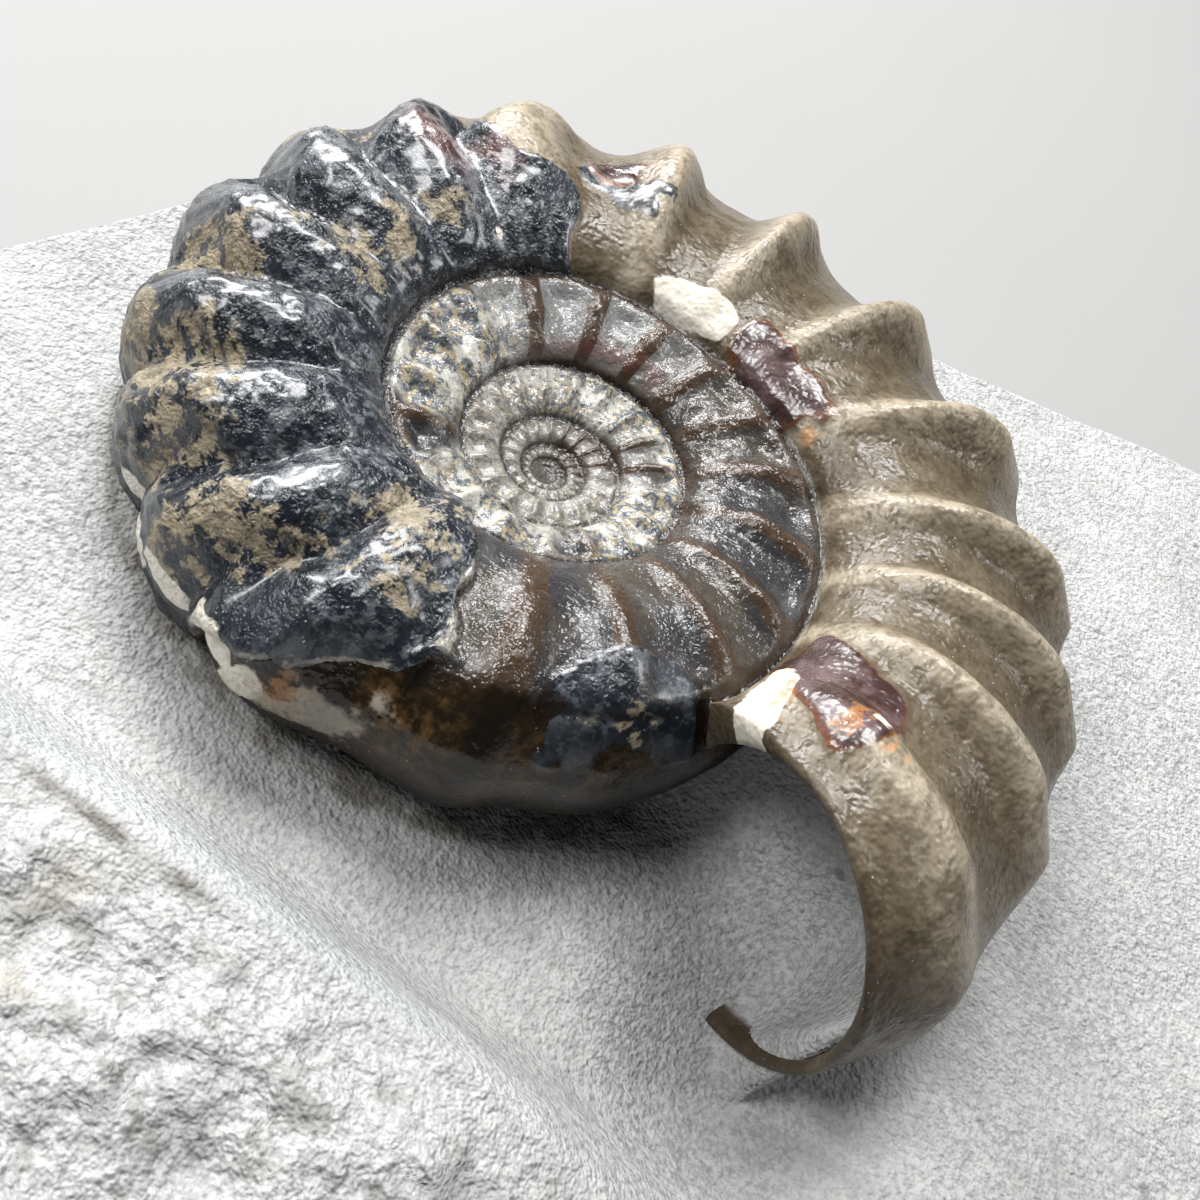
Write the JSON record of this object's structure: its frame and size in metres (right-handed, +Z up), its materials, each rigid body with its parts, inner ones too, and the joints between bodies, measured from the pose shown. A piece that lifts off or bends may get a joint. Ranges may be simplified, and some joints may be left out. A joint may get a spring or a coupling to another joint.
{
  "type": "fossil ammonite on limestone",
  "caption": "Ribbed spiral fossil shell prepared in relief on an irregular block of pale limestone that lies flat and carries it.",
  "frame": {"origin": "middle of the bounding box, on the block's flat base", "axes": "+Z up along the coil's axis; +Y is the way the picture looks, seen from above; +X to its right"},
  "size_m": [0.1006, 0.094, 0.0366],
  "materials": {
    "shell": "glossy",
    "limestone": "matte"
  },
  "bodies": {
    "root": {"ammonite": "shell", "limestone_matrix": "limestone"}
  },
  "joints": []
}
